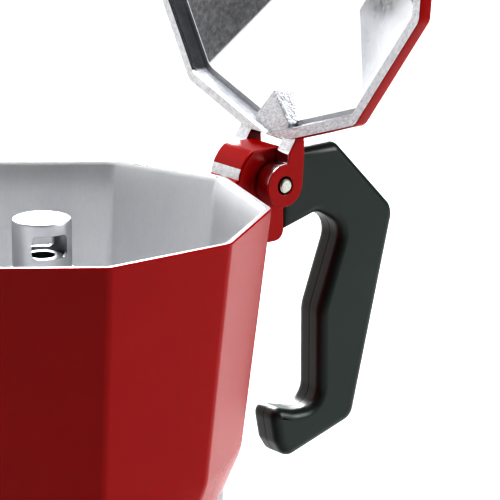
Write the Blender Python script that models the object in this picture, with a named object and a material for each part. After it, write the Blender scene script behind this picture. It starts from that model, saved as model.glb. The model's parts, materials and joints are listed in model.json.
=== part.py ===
"""Ten-sided stove-top moka pot with its lid open.

Metres, +Z up. The origin is the centre of the base on the surface it stands on, the handle
points along +X and the spout along -X. Every piece is its own object.
"""

import math

import bmesh
import bpy
from mathutils import Matrix, Vector

# Faceting shared by every ten-sided shell
SIDES = 10
RING_POINTS = 40
ROUND_POINTS = 32

# Clearances
GAP = 0.0003
THREAD_GAP = 0.0003
PIN_GAP = 0.0003

# Boiler
BOILER_BASE_R = 0.062
BOILER_TOP_R = 0.0505
BOILER_BODY_H = 0.076
BOILER_WALL = 0.0033
BOILER_FLOOR = 0.004
BOILER_EDGE = 0.0015
SHOULDER_RISE = 0.0114
SHOULDER_FLARE_H = 0.008
THROAT_DROP = 0.003
THROAT_RISE = 0.004
NECK_R = 0.0426
NECK_WALL = 0.0031
NECK_H = 0.0096

# Funnel, with its basket hanging inside the neck
FUNNEL_SHEET = 0.0008
FUNNEL_FLANGE_H = 0.001
FUNNEL_FLANGE_R = NECK_R - 0.0004
BASKET_CLEARANCE = 0.0016
BASKET_DEPTH = 0.025
CONE_DEPTH = 0.010
STEM_R = 0.0045
STEM_FOOT_Z = 0.009
SCREEN_THICK = 0.0008
PERFORATION_R = 0.0009
PERFORATED_SHARE = 0.8

# Gasket and filter plate, pressed between the neck and the collector
GASKET_H = 0.003
GASKET_WIDTH = 0.0089
GASKET_OUTER_R = NECK_R - 0.0002
PLATE_R = GASKET_OUTER_R - 0.0044
PLATE_THICK = 0.0008

# Collector
COLLAR_WALL = 0.0044
COLLAR_R = NECK_R + COLLAR_WALL
COLLAR_H = 0.0152
RIM_R = 0.060
RIM_WIDTH = 0.0024
WAIST_R = 0.0523
COLLECTOR_H = 0.075
WAIST_DROP = 0.063
COLLECTOR_WALL = 0.0032
FLOOR_THICK = 0.0038
WAIST_FLARE = ((0.004, 0.5, 0.45), (0.008, 0.77, 0.85))
RIM_CHAMFER = 0.0008
RIM_CHAMFER_H = 0.0012
FLOOR_CORNER = 0.003
SPOUT_REACH = 0.012
SPOUT_BELLY = 0.45
BELLY_DROP = 0.45
SPOUT_DROP = 0.038

# Coffee column in the collector
COLUMN_FOOT_R = 0.020
COLUMN_R = 0.0088
COLUMN_WALL = 0.0042
COLUMN_TIP_R = 0.0059
COLUMN_TIP_H = 0.0034
COLUMN_BORE_R = 0.0034
COLUMN_FLARE_H = 0.008
COLUMN_SHOULDER_H = 0.024
CAP_R = 0.0078
CAP_WALL = 0.0014
CAP_H = 0.0135
CAP_DROP = 0.002
CAP_EDGE = 0.001
WINDOW_ANGLE = math.radians(-106)
WINDOW_WIDTH = 0.0096
WINDOW_H = 0.0072
WINDOW_DROP = 0.0050

# Lid hinge: a lug on the collector between two ears on the lid
HINGE_OUT = 0.011
HINGE_X = RIM_R + HINGE_OUT
HINGE_DROP = 0.002
PIN_R = 0.002
PIN_PROUD = 0.0005
LUG_WIDTH = 0.013
LUG_SWEEP_R = 0.0116
LUG_TOP = 0.0075
LUG_BACK_X = HINGE_X + 0.0042
LUG_BOTTOM = 0.019
LUG_CORNER_R = 0.003
EAR_R = 0.006
EAR_WIDTH = 0.0055
EAR_BAR = 0.0056
EAR_INSET = 0.0015
LID_OPEN = math.radians(94.4)

# Lid
LID_OVERHANG = 0.0023
LID_R = RIM_R + LID_OVERHANG
LID_RIM = 0.0031
LID_SKIRT_H = 0.0032
LID_H = 0.0205
LID_WALL = 0.0025
LID_CROWN_R = 0.013
LID_BEAK = 0.008
LID_EDGE = 0.0012
DOME_SHOULDER = (0.78, 0.56)
DOME_UPPER = (0.8, 0.86)
GUSSET_LENGTH = 0.0153
GUSSET_H = 0.0042
GUSSET_TIP = 0.005
GUSSET_TAPER = 0.0065

# Knob
KNOB_R = 0.010
KNOB_FOOT_R = 0.0075
KNOB_WAIST_R = 0.0062
KNOB_H = 0.0235
KNOB_EDGE = 0.0006
KNOB_BORE_DEPTH = 0.012
KNOB_SCREW_R = 0.0017
KNOB_SCREW_HEAD_R = 0.004
KNOB_SCREW_HEAD_H = 0.0022
WASHER_R = 0.006
WASHER_THICK = 0.001

# Handle: a flat moulding on a tang of the collector, held by a screw from below
HANDLE_THICK = 0.011
HANDLE_EDGE = 0.0028
ARM_LENGTH = 0.0195
ARM_TOP = 0.005
ARM_BOTTOM_DROP = 0.0172
ARM_CORNER_R = 0.0015
HANDLE_REACH = 0.0405
SHOULDER_DROP = 0.0165
ELBOW_OUT = 0.013
ELBOW_DROP = 0.0135
GRIP_INNER = 0.0138
GRIP_BEND_DROP = 0.042
GRIP_FOOT_OUT = 0.0259
GRIP_FOOT_DROP = 0.0755
HANDLE_DROP = 0.0832
HOOK_OUT = 0.002
HOOK_TOP_DROP = 0.0692
TANG_LENGTH = 0.011
TANG_WIDTH = 0.006
TANG_TOP = 0.001
TANG_H = 0.0095
TANG_ROOT = 0.002
HANDLE_SCREW_OUT = 0.0058
HANDLE_SCREW_R = 0.0012
HANDLE_SCREW_HEAD_R = 0.0026
HANDLE_SCREW_HEAD_H = 0.0018
HANDLE_SCREW_HEAD_DROP = 0.0136
HANDLE_SCREW_BITE = 0.0075

# Safety valve on the facet that faces +Y
VALVE_DROP = 0.018
VALVE_BOSS_R = 0.009
VALVE_BOSS_PROUD = 0.0022
VALVE_SHANK_R = 0.0041
VALVE_SHANK_LENGTH = 0.012
VALVE_HEX_R = 0.0075
VALVE_HEX_H = 0.0044
VALVE_NOSE_R = 0.0052
VALVE_NOSE_H = 0.005
VALVE_BORE_R = 0.003
VALVE_SEAT_R = 0.0016
VALVE_SEAT_DEPTH = 0.006
VALVE_WASHER_R = 0.0074
VALVE_WASHER_H = 0.001
VALVE_ROD_R = 0.001
VALVE_PISTON_H = 0.0012
VALVE_TRAVEL = 0.0015
SPRING_WIRE_R = 0.00035
SPRING_R = 0.002
SPRING_TURNS = 5
RETAINER_H = 0.0014

# Sizes that follow from others
VALVE_Z = BOILER_BODY_H - VALVE_DROP
BASKET_R = NECK_R - NECK_WALL - BASKET_CLEARANCE
GUSSET_R = LID_R - GUSSET_LENGTH
HANDLE_SCREW_X = LUG_BACK_X + HANDLE_SCREW_OUT

# Levels that follow from the stack
SHOULDER_Z = BOILER_BODY_H + SHOULDER_RISE
NECK_TOP_Z = SHOULDER_Z + NECK_H
FUNNEL_FLANGE_Z = NECK_TOP_Z + GAP
GASKET_Z = FUNNEL_FLANGE_Z + FUNNEL_FLANGE_H + GAP
PLATE_Z = GASKET_Z + GASKET_H + GAP
CEILING_Z = PLATE_Z + PLATE_THICK + GAP
COLLAR_Z = SHOULDER_Z + GAP
COLLAR_TOP_Z = COLLAR_Z + COLLAR_H
RIM_Z = COLLAR_TOP_Z + COLLECTOR_H
FLOOR_Z = CEILING_Z + FLOOR_THICK
HINGE_Z = RIM_Z - HINGE_DROP
LID_SEAT_Z = RIM_Z + GAP


def linear(hex_colour):
    """Linear RGBA of an sRGB hex string."""
    channels = [int(hex_colour[i : i + 2], 16) / 255 for i in (0, 2, 4)]
    return [c / 12.92 if c < 0.04045 else ((c + 0.055) / 1.055) ** 2.4 for c in channels] + [1.0]


def make_material(name, hex_colour, roughness, metallic):
    material = bpy.data.materials.new(name)
    material.use_nodes = True
    shader = material.node_tree.nodes["Principled BSDF"]
    shader.inputs["Base Color"].default_value = linear(hex_colour)
    shader.inputs["Roughness"].default_value = roughness
    shader.inputs["Metallic"].default_value = metallic
    return material


def red_paint(name):
    return make_material(name, "A8100F", 0.25, 0.0)


def cast_aluminium(name):
    return make_material(name, "C4C4C6", 0.35, 1.0)


def black_resin(name):
    return make_material(name, "26302D", 0.35, 0.0)


def brass(name):
    return make_material(name, "B8935A", 0.3, 1.0)


def steel(name):
    return make_material(name, "B9BAB8", 0.3, 1.0)


def rubber(name):
    return make_material(name, "E4E2DA", 0.6, 0.0)


def add_object(name, bm, material, parent=None, place=(0.0, 0.0, 0.0)):
    """Turns a bmesh into an object whose mesh is moved to `place` in its parent's space."""
    bmesh.ops.remove_doubles(bm, verts=bm.verts, dist=1e-7)
    bmesh.ops.recalc_face_normals(bm, faces=bm.faces)
    bmesh.ops.translate(bm, verts=bm.verts, vec=place)
    mesh = bpy.data.meshes.new(name)
    bm.to_mesh(mesh)
    bm.free()
    mesh.shade_smooth()
    mesh.set_sharp_from_angle(angle=math.radians(25))
    obj = bpy.data.objects.new(name, mesh)
    bpy.context.scene.collection.objects.link(obj)
    obj.parent = parent
    if material:
        mesh.materials.append(material)
    return obj


def add_empty(name, location, rotation=(0.0, 0.0, 0.0)):
    empty = bpy.data.objects.new(name, None)
    empty.location = location
    empty.rotation_euler = rotation
    bpy.context.scene.collection.objects.link(empty)
    return empty


def combine(target, operation, bm, parent=None, place=(0.0, 0.0, 0.0)):
    """Adds a Boolean of `bm` to `target`; the helper object stays hidden in renders."""
    name = f"{target.name}_{operation.lower()}_{len(target.modifiers)}"
    helper = add_object(name, bm, None, parent, place)
    helper.hide_render = True
    helper.display_type = "WIRE"
    modifier = target.modifiers.new(helper.name, "BOOLEAN")
    modifier.operation = operation
    modifier.solver = "EXACT"
    modifier.object = helper


def polygon_radius(angle, sides):
    """Distance to the edge of a unit regular polygon with a corner at angle 0."""
    step = 2 * math.pi / sides
    return math.cos(step / 2) / math.cos((angle % step) - step / 2)


def ring(radius, z, faceting=1.0, beak=0.0, sides=SIDES, points=RING_POINTS):
    """Points of a ring: faceting 1 is the polygon, 0 the circle; beak pushes the -X corner out."""
    places = []
    for i in range(points):
        angle = 2 * math.pi * i / points
        reach = radius * (1 + faceting * (polygon_radius(angle, sides) - 1))
        off_axis = abs(angle - math.pi) / (2 * math.pi / sides)
        reach += beak * max(0.0, 1 - off_axis) ** 1.6
        places.append(Vector((reach * math.cos(angle), reach * math.sin(angle), z)))
    return places


def loft(rings, looped):
    """Skin over a list of rings, closed on itself when looped and capped at both ends when not."""
    bm = bmesh.new()
    first = [bm.verts.new(place) for place in rings[0]]
    count = len(first)
    edges = [bm.edges.new((first[i], first[(i + 1) % count])) for i in range(count)]
    order = {vert: i for i, vert in enumerate(first)}
    if not looped:
        bm.faces.new(first)
    for places in rings[1:] + (rings[:1] if looped else []):
        made = bmesh.ops.extrude_edge_only(bm, edges=edges)["geom"]
        edges = [item for item in made if isinstance(item, bmesh.types.BMEdge)]
        ends = [item for item in made if isinstance(item, bmesh.types.BMVert)]
        below = {
            vert: next(e.other_vert(vert) for e in vert.link_edges if e.other_vert(vert) in order)
            for vert in ends
        }
        order = {vert: order[below[vert]] for vert in ends}
        for vert, i in order.items():
            vert.co = places[i]
    if looped:
        bmesh.ops.remove_doubles(bm, verts=bm.verts, dist=1e-7)
    else:
        bm.faces.new(sorted(order, key=order.get))
    return bm


def turned(profile, points=ROUND_POINTS, looped=True):
    """Solid of revolution about Z from (radius, z) pairs; not looped means it ends on the axis."""
    bm = bmesh.new()
    verts = [bm.verts.new((radius, 0.0, z)) for radius, z in profile]
    pairs = list(zip(verts, verts[1:] + verts[:1] if looped else verts[1:]))
    edges = [bm.edges.new(pair) for pair in pairs]
    bmesh.ops.spin(
        bm,
        geom=verts + edges,
        cent=(0, 0, 0),
        axis=(0, 0, 1),
        angle=2 * math.pi,
        steps=points,
        use_merge=True,
    )
    bmesh.ops.remove_doubles(bm, verts=bm.verts, dist=1e-7)
    return bm


def tube(inner, outer, low, high, points=ROUND_POINTS):
    return turned([(outer, low), (outer, high), (inner, high), (inner, low)], points)


def bar(radius, start, end, points=ROUND_POINTS):
    """Solid cylinder between two places."""
    start, end = Vector(start), Vector(end)
    along = end - start
    matrix = Matrix.Translation((start + end) / 2) @ along.to_track_quat("Z", "Y").to_matrix().to_4x4()
    bm = bmesh.new()
    bmesh.ops.create_cone(
        bm,
        cap_ends=True,
        segments=points,
        radius1=radius,
        radius2=radius,
        depth=along.length,
        matrix=matrix,
    )
    return bm


def block(low, high):
    """Solid box between two opposite corners."""
    low, high = Vector(low), Vector(high)
    bm = bmesh.new()
    bmesh.ops.create_cube(bm, size=1.0)
    bmesh.ops.scale(bm, vec=high - low, verts=bm.verts)
    bmesh.ops.translate(bm, vec=(low + high) / 2, verts=bm.verts)
    return bm


def filleted(corners, steps=4):
    """Outline of (x, z, fillet radius) corners with each fillet drawn as an arc."""
    outline = []
    for i, (x, z, radius) in enumerate(corners):
        here = Vector((x, z))
        if radius == 0:
            outline.append(here)
            continue
        before = Vector(corners[i - 1][:2]) - here
        after = Vector(corners[(i + 1) % len(corners)][:2]) - here
        half = before.angle(after) / 2
        centre = here + (before.normalized() + after.normalized()).normalized() * radius / math.sin(half)
        start = here + before.normalized() * radius / math.tan(half) - centre
        turn = start.angle_signed(here + after.normalized() * radius / math.tan(half) - centre)
        for step in range(steps + 1):
            spoke = start.copy()
            spoke.rotate(Matrix.Rotation(-turn * step / steps, 2))
            outline.append(centre + spoke)
    return outline


def prism(outline, width, middle=0.0):
    """An outline in the XZ plane, extruded to `width` along Y about y = middle."""
    bm = bmesh.new()
    face = bm.faces.new([bm.verts.new((p[0], middle - width / 2, p[1])) for p in outline])
    made = bmesh.ops.extrude_face_region(bm, geom=[face])["geom"]
    moved = [item for item in made if isinstance(item, bmesh.types.BMVert)]
    bmesh.ops.translate(bm, vec=(0, width, 0), verts=moved)
    bmesh.ops.recalc_face_normals(bm, faces=bm.faces)
    return bm


def slab(outline, low, high):
    """An outline in the XY plane, extruded from low to high along Z."""
    bm = bmesh.new()
    face = bm.faces.new([bm.verts.new((x, y, low)) for x, y in outline])
    made = bmesh.ops.extrude_face_region(bm, geom=[face])["geom"]
    moved = [item for item in made if isinstance(item, bmesh.types.BMVert)]
    bmesh.ops.translate(bm, vec=(0, 0, high - low), verts=moved)
    bmesh.ops.recalc_face_normals(bm, faces=bm.faces)
    return bm


def arc(centre, radius, start, end, steps):
    """Points on an arc in the XZ plane, with both ends, from angle start to angle end."""
    angles = [start + (end - start) * i / steps for i in range(steps + 1)]
    return [(centre[0] + radius * math.cos(a), centre[1] + radius * math.sin(a)) for a in angles]


def perforations(reach, low, high, rows=3):
    """Cutter of small holes in hexagonal rows round the centre."""
    bm = bmesh.new()
    for row in range(rows + 1):
        for i in range(max(1, 6 * row)):
            angle = 2 * math.pi * i / max(1, 6 * row)
            out = reach * row / rows
            place = (out * math.cos(angle), out * math.sin(angle), (low + high) / 2)
            bmesh.ops.create_cone(
                bm,
                cap_ends=True,
                segments=6,
                radius1=PERFORATION_R,
                radius2=PERFORATION_R,
                depth=high - low,
                matrix=Matrix.Translation(place),
            )
    return bm


def boiler_radius(z):
    """Outer corner radius of the tapering boiler body at height z."""
    share = (z - BOILER_EDGE) / (BOILER_BODY_H - BOILER_EDGE)
    return BOILER_BASE_R + (BOILER_TOP_R - BOILER_BASE_R) * share


def valve_face_y():
    """Y of the flat boss that the valve is screwed against."""
    return boiler_radius(VALVE_Z) * math.cos(math.pi / SIDES) + VALVE_BOSS_PROUD


def build_boiler():
    bore = NECK_R - NECK_WALL
    rings = [
        ring(BOILER_BASE_R - BOILER_EDGE, 0.0),
        ring(BOILER_BASE_R, BOILER_EDGE),
        ring(BOILER_TOP_R, BOILER_BODY_H),
        ring((BOILER_TOP_R + COLLAR_R) / 2, BOILER_BODY_H + SHOULDER_FLARE_H * 0.6, 0.6),
        ring(COLLAR_R, BOILER_BODY_H + SHOULDER_FLARE_H, 0.0),
        ring(COLLAR_R, SHOULDER_Z, 0.0),
        ring(NECK_R, SHOULDER_Z, 0.0),
        ring(NECK_R, NECK_TOP_Z, 0.0),
        ring(bore, NECK_TOP_Z, 0.0),
        ring(bore, BOILER_BODY_H + THROAT_RISE, 0.0),
        ring(BOILER_TOP_R - BOILER_WALL, BOILER_BODY_H - THROAT_DROP),
        ring(BOILER_BASE_R - BOILER_WALL, BOILER_FLOOR + BOILER_EDGE),
        ring(BOILER_BASE_R - BOILER_WALL - BOILER_EDGE, BOILER_FLOOR),
    ]
    boiler = add_object("boiler", loft(rings, looped=False), cast_aluminium("boiler_aluminium"))
    inside = valve_face_y() - VALVE_BOSS_PROUD - BOILER_WALL / 2
    boss = bar(VALVE_BOSS_R, (0, inside, VALVE_Z), (0, valve_face_y(), VALVE_Z))
    combine(boiler, "UNION", boss)
    hole = bar(
        VALVE_SHANK_R + THREAD_GAP,
        (0, inside - VALVE_SHANK_LENGTH, VALVE_Z),
        (0, valve_face_y() + VALVE_WASHER_H, VALVE_Z),
    )
    combine(boiler, "DIFFERENCE", hole)
    return boiler


def build_valve():
    """The valve's pieces stand on a local Z that points out of the boiler, along +Y."""
    axis = add_empty("valve_axis", (0, valve_face_y(), VALVE_Z), (-math.pi / 2, 0, 0))
    hex_low = GAP + VALVE_WASHER_H + GAP
    hex_high = hex_low + VALVE_HEX_H
    nose = hex_high + VALVE_NOSE_H
    washer = tube(VALVE_SHANK_R + GAP, VALVE_WASHER_R, GAP, GAP + VALVE_WASHER_H, 24)
    add_object("valve_washer", washer, rubber("valve_washer_fibre"), axis)
    rings = [
        ring(VALVE_SHANK_R, -VALVE_SHANK_LENGTH, 0.0, points=24),
        ring(VALVE_SHANK_R, hex_low, 0.0, points=24),
        ring(VALVE_HEX_R, hex_low, 1.0, sides=6, points=24),
        ring(VALVE_HEX_R, hex_high, 1.0, sides=6, points=24),
        ring(VALVE_NOSE_R, hex_high, 0.0, points=24),
        ring(VALVE_NOSE_R, nose, 0.0, points=24),
        ring(VALVE_BORE_R, nose, 0.0, points=24),
        ring(VALVE_BORE_R, -VALVE_SEAT_DEPTH, 0.0, points=24),
        ring(VALVE_SEAT_R, -VALVE_SEAT_DEPTH, 0.0, points=24),
        ring(VALVE_SEAT_R, -VALVE_SHANK_LENGTH, 0.0, points=24),
    ]
    add_object("valve_body", loft(rings, looped=True), brass("valve_brass"), axis)
    seal_low = -VALVE_SEAT_DEPTH + GAP
    seal_high = seal_low + VALVE_WASHER_H
    piston_r = VALVE_BORE_R - GAP
    seal = tube(VALVE_ROD_R + GAP, piston_r, seal_low, seal_high, 16)
    add_object("valve_seal", seal, rubber("valve_seal_rubber"), axis)
    collar_low = seal_high + GAP
    collar_high = collar_low + VALVE_PISTON_H
    stem = turned(
        [
            (0, seal_low + GAP),
            (VALVE_ROD_R, seal_low + GAP),
            (VALVE_ROD_R, collar_low),
            (piston_r, collar_low),
            (piston_r, collar_high),
            (VALVE_ROD_R, collar_high),
            (VALVE_ROD_R, nose + VALVE_TRAVEL),
            (0, nose + VALVE_TRAVEL),
        ],
        16,
        looped=False,
    )
    add_object("valve_stem", stem, steel("valve_stem_steel"), axis)
    retainer_low = nose - GAP - RETAINER_H
    retainer = tube(VALVE_ROD_R + 2 * GAP, VALVE_BORE_R - GAP, retainer_low, nose - GAP, 16)
    add_object("valve_retainer", retainer, brass("valve_retainer_brass"), axis)
    spring_low = collar_high + GAP + SPRING_WIRE_R
    spring_high = retainer_low - VALVE_TRAVEL - 2 * GAP - SPRING_WIRE_R
    build_spring(axis, spring_low, spring_high)


def build_spring(axis, low, high):
    curve = bpy.data.curves.new("valve_spring", "CURVE")
    curve.dimensions = "3D"
    curve.bevel_depth = SPRING_WIRE_R
    curve.bevel_resolution = 1
    curve.use_fill_caps = True
    steps = SPRING_TURNS * 12
    spline = curve.splines.new("POLY")
    spline.points.add(steps)
    for i, point in enumerate(spline.points):
        angle = 2 * math.pi * SPRING_TURNS * i / steps
        height = low + (high - low) * i / steps
        point.co = (SPRING_R * math.cos(angle), SPRING_R * math.sin(angle), height, 1.0)
    curve.materials.append(steel("valve_spring_steel"))
    spring = bpy.data.objects.new("valve_spring", curve)
    spring.parent = axis
    bpy.context.scene.collection.objects.link(spring)


def build_funnel():
    floor_z = FUNNEL_FLANGE_Z - BASKET_DEPTH
    cone_z = floor_z - CONE_DEPTH
    profile = [
        (FUNNEL_FLANGE_R, FUNNEL_FLANGE_Z),
        (BASKET_R, FUNNEL_FLANGE_Z),
        (BASKET_R, floor_z),
        (STEM_R, cone_z),
        (STEM_R, STEM_FOOT_Z),
        (STEM_R - FUNNEL_SHEET, STEM_FOOT_Z),
        (STEM_R - FUNNEL_SHEET, cone_z + FUNNEL_SHEET),
        (BASKET_R - FUNNEL_SHEET, floor_z + FUNNEL_SHEET),
        (BASKET_R - FUNNEL_SHEET, FUNNEL_FLANGE_Z + FUNNEL_FLANGE_H),
        (FUNNEL_FLANGE_R, FUNNEL_FLANGE_Z + FUNNEL_FLANGE_H),
    ]
    add_object("funnel", turned(profile, RING_POINTS), cast_aluminium("funnel_aluminium"))
    screen_z = floor_z + FUNNEL_SHEET + GAP
    screen_top = screen_z + SCREEN_THICK
    screen_r = BASKET_R - FUNNEL_SHEET - GAP
    screen = turned(
        [(0, screen_z), (screen_r, screen_z), (screen_r, screen_top), (0, screen_top)],
        RING_POINTS,
        looped=False,
    )
    plate = add_object("funnel_screen", screen, steel("screen_steel"))
    holes = perforations(screen_r * PERFORATED_SHARE, screen_z - GAP, screen_top + GAP)
    combine(plate, "DIFFERENCE", holes)


def build_seals():
    gasket = tube(GASKET_OUTER_R - GASKET_WIDTH, GASKET_OUTER_R, GASKET_Z, GASKET_Z + GASKET_H, RING_POINTS)
    add_object("gasket", gasket, rubber("gasket_rubber"))
    plate = turned(
        [(0, PLATE_Z), (PLATE_R, PLATE_Z), (PLATE_R, PLATE_Z + PLATE_THICK), (0, PLATE_Z + PLATE_THICK)],
        RING_POINTS,
        looped=False,
    )
    filter_plate = add_object("filter_plate", plate, steel("filter_steel"))
    holes = perforations(COLUMN_FOOT_R, PLATE_Z - GAP, PLATE_Z + PLATE_THICK + GAP)
    combine(filter_plate, "DIFFERENCE", holes)


def collector_rings():
    """Rings up the outside of the collector, down its inside, over the column and back below."""
    waist_z = RIM_Z - WAIST_DROP
    neck_z = COLLAR_TOP_Z
    inner = RIM_R - RIM_WIDTH
    cap_z = RIM_Z - CAP_DROP - CAP_H
    bore = NECK_R + THREAD_GAP
    spout_z = RIM_Z - SPOUT_DROP
    belly_z = RIM_Z - SPOUT_DROP * BELLY_DROP

    def body(z):
        return RIM_R + (WAIST_R - RIM_R) * (RIM_Z - z) / WAIST_DROP

    return [
        ring(COLLAR_R, COLLAR_Z, 0.0),
        ring(COLLAR_R, neck_z, 0.0),
        *(
            ring(COLLAR_R + (WAIST_R - COLLAR_R) * share, neck_z + rise, faceting)
            for rise, share, faceting in WAIST_FLARE
        ),
        ring(WAIST_R, waist_z),
        ring(body(spout_z), spout_z),
        ring(body(belly_z), belly_z, beak=SPOUT_REACH * SPOUT_BELLY),
        ring(RIM_R, RIM_Z, beak=SPOUT_REACH),
        ring(inner + RIM_CHAMFER / 2, RIM_Z, beak=SPOUT_REACH),
        ring(inner - RIM_CHAMFER / 2, RIM_Z - RIM_CHAMFER_H, beak=SPOUT_REACH),
        ring(body(belly_z) - COLLECTOR_WALL, belly_z, beak=SPOUT_REACH * SPOUT_BELLY),
        ring(body(spout_z) - COLLECTOR_WALL, spout_z),
        ring(WAIST_R - COLLECTOR_WALL, waist_z),
        ring(WAIST_R - COLLECTOR_WALL - FLOOR_CORNER, FLOOR_Z + FLOOR_CORNER / 3, 0.7),
        ring(COLLAR_R - COLLECTOR_WALL, FLOOR_Z, 0.2),
        ring(COLUMN_FOOT_R, FLOOR_Z, 0.0),
        ring(COLUMN_FOOT_R * 0.7, FLOOR_Z + COLUMN_FLARE_H, 0.0),
        ring(COLUMN_R * 1.15, FLOOR_Z + COLUMN_SHOULDER_H, 0.0),
        ring(COLUMN_R, cap_z - GAP, 0.0),
        ring(COLUMN_TIP_R, cap_z - GAP, 0.0),
        ring(COLUMN_TIP_R, cap_z + COLUMN_TIP_H, 0.0),
        ring(COLUMN_BORE_R, cap_z + COLUMN_TIP_H, 0.0),
        ring(COLUMN_R * 1.15 - COLUMN_WALL, FLOOR_Z + COLUMN_SHOULDER_H, 0.0),
        ring(COLUMN_FOOT_R * 0.7 - COLUMN_WALL, FLOOR_Z + COLUMN_FLARE_H * 0.75, 0.0),
        ring(COLUMN_FOOT_R, CEILING_Z, 0.0),
        ring(bore, CEILING_Z, 0.0),
        ring(bore, COLLAR_Z, 0.0),
    ]


def lug_outline():
    """Side view of the hinge lug, whose front follows the sweep of the lid's notch."""
    hinge = (HINGE_X, HINGE_Z)
    top = math.pi - math.asin((LUG_TOP + HINGE_DROP) / LUG_SWEEP_R)
    base = math.pi - math.asin((HINGE_DROP - RIM_CHAMFER_H) / LUG_SWEEP_R)
    wall_top = RIM_R - RIM_WIDTH
    wall_foot = wall_top - (RIM_R - WAIST_R) * LUG_BOTTOM / WAIST_DROP
    outline = [(wall_foot, RIM_Z - LUG_BOTTOM), (wall_top, RIM_Z - RIM_CHAMFER_H)]
    outline += arc(hinge, LUG_SWEEP_R, base, top, 5)
    corners = [
        (hinge[0] + LUG_SWEEP_R * math.cos(top), RIM_Z + LUG_TOP, 0),
        (LUG_BACK_X, RIM_Z + LUG_TOP, LUG_CORNER_R),
        (LUG_BACK_X, RIM_Z - LUG_BOTTOM, LUG_CORNER_R),
        (wall_foot, RIM_Z - LUG_BOTTOM, 0),
    ]
    return outline + [tuple(p) for p in filleted(corners)[1:-1]]


def build_collector():
    collector = add_object("collector", loft(collector_rings(), looped=True), red_paint("collector_paint"))
    combine(collector, "UNION", prism(lug_outline(), LUG_WIDTH))
    tang_top = RIM_Z - TANG_TOP
    tang = block(
        (LUG_BACK_X - TANG_ROOT, -TANG_WIDTH / 2, tang_top - TANG_H),
        (LUG_BACK_X + TANG_LENGTH, TANG_WIDTH / 2, tang_top),
    )
    combine(collector, "UNION", tang)
    reach = LUG_WIDTH / 2 + EAR_WIDTH
    pin_hole = bar(PIN_R + PIN_GAP, (HINGE_X, -reach, HINGE_Z), (HINGE_X, reach, HINGE_Z), 24)
    combine(collector, "DIFFERENCE", pin_hole)
    head_z = RIM_Z - HANDLE_SCREW_HEAD_DROP
    screw_top = tang_top - TANG_H + HANDLE_SCREW_BITE + GAP
    screw_hole = bar(
        HANDLE_SCREW_R + GAP,
        (HANDLE_SCREW_X, 0, head_z),
        (HANDLE_SCREW_X, 0, screw_top),
        16,
    )
    combine(collector, "DIFFERENCE", screw_hole)


def build_column_cap():
    low = RIM_Z - CAP_DROP - CAP_H
    high = RIM_Z - CAP_DROP
    inner = CAP_R - CAP_WALL
    profile = [
        (0, high),
        (CAP_R - CAP_EDGE, high),
        (CAP_R, high - CAP_EDGE),
        (CAP_R, low),
        (inner, low),
        (inner, high - CAP_WALL),
        (0, high - CAP_WALL),
    ]
    cap = add_object("column_cap", turned(profile, 40, looped=False), cast_aluminium("cap_aluminium"))
    window = block(
        (-CAP_R * 1.5, -WINDOW_WIDTH / 2, high - WINDOW_DROP - WINDOW_H),
        (CAP_R * 1.5, WINDOW_WIDTH / 2, high - WINDOW_DROP),
    )
    bmesh.ops.rotate(window, verts=window.verts, matrix=Matrix.Rotation(WINDOW_ANGLE, 3, "Z"))
    combine(cap, "DIFFERENCE", window)


def build_hinge_pin():
    reach = LUG_WIDTH / 2 + GAP + EAR_WIDTH + PIN_PROUD
    pin = bar(PIN_R, (0, -reach, 0), (0, reach, 0), 24)
    add_object("hinge_pin", pin, steel("pin_steel")).location = (HINGE_X, 0, HINGE_Z)


def handle_outline():
    """Side view of the handle: arm, sloping shoulder, grip and the hook at its foot."""
    corners = [
        (0.0, ARM_TOP, ARM_CORNER_R),
        (ARM_LENGTH, ARM_TOP + 0.0004, 0.003),
        (HANDLE_REACH, -SHOULDER_DROP, 0.005),
        (GRIP_FOOT_OUT, -GRIP_FOOT_DROP, 0.004),
        (HOOK_OUT, -HANDLE_DROP, 0.003),
        (HOOK_OUT - 0.003, -HANDLE_DROP + 0.0052, 0.004),
        (HOOK_OUT - 0.0047, -HOOK_TOP_DROP + 0.002, 0.001),
        (HOOK_OUT, -HOOK_TOP_DROP, 0.004),
        (GRIP_INNER, -HOOK_TOP_DROP - 0.001, 0.0055),
        (GRIP_INNER, -GRIP_BEND_DROP, 0.008),
        (ARM_LENGTH + 0.003, -ELBOW_DROP - 0.005, 0.006),
        (ELBOW_OUT, -ELBOW_DROP, 0.004),
        (0.0, -ARM_BOTTOM_DROP, ARM_CORNER_R),
    ]
    root = LUG_BACK_X + GAP
    return [(root + p[0], RIM_Z + p[1]) for p in filleted(corners)]


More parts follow.
